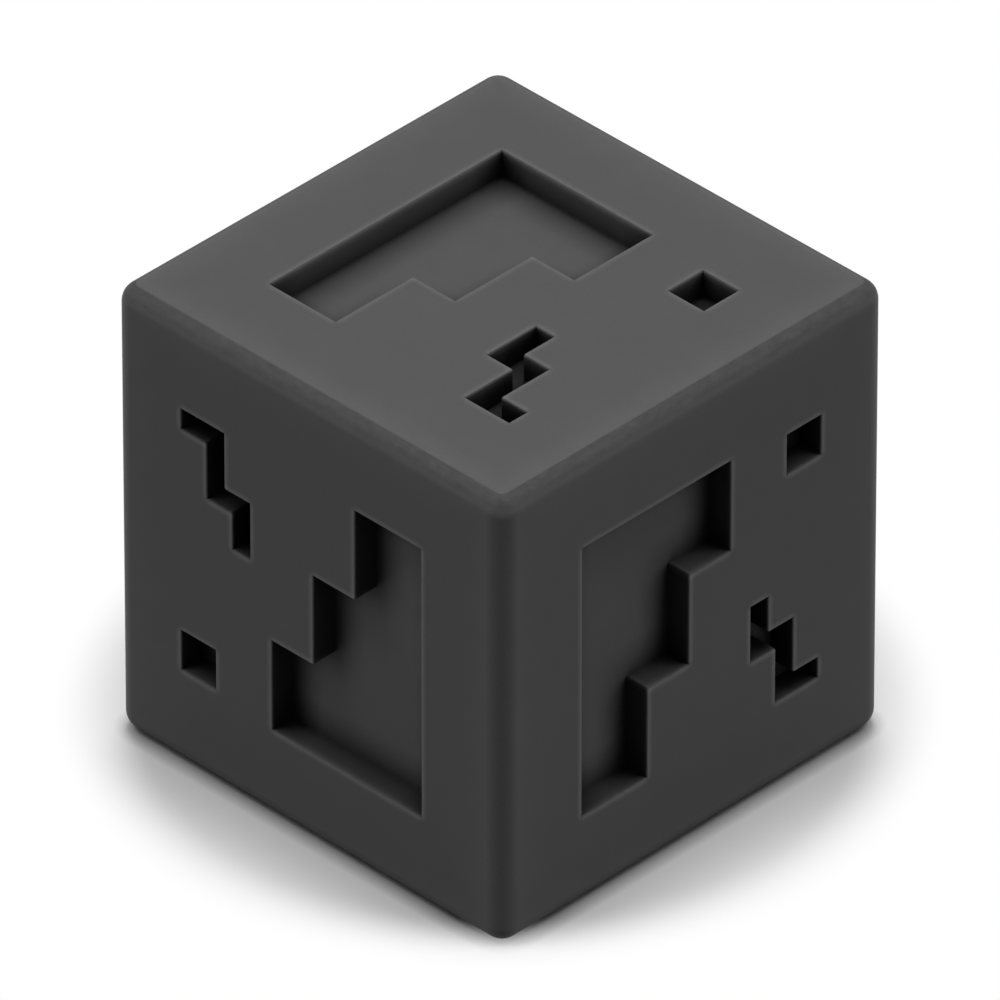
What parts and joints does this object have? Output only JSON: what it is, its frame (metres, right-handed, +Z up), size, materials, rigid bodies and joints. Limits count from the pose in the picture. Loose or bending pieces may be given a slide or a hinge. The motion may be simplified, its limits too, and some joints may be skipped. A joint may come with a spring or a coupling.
{
  "type": "sample cube",
  "caption": "Solid cube of dark grey sintered nylon with rounded edges and shallow square-cornered test recesses in its top and sides.",
  "frame": {"origin": "middle of the underside", "axes": "+Z up from the underside to the top; +X out of one marked side, -Y out of the side to its left"},
  "size_m": [0.025, 0.025, 0.025],
  "materials": {
    "sintered_nylon": "fine even powder grain, matte, dark grey"
  },
  "bodies": {
    "root": {"sample_cube": "sintered_nylon"}
  },
  "joints": []
}
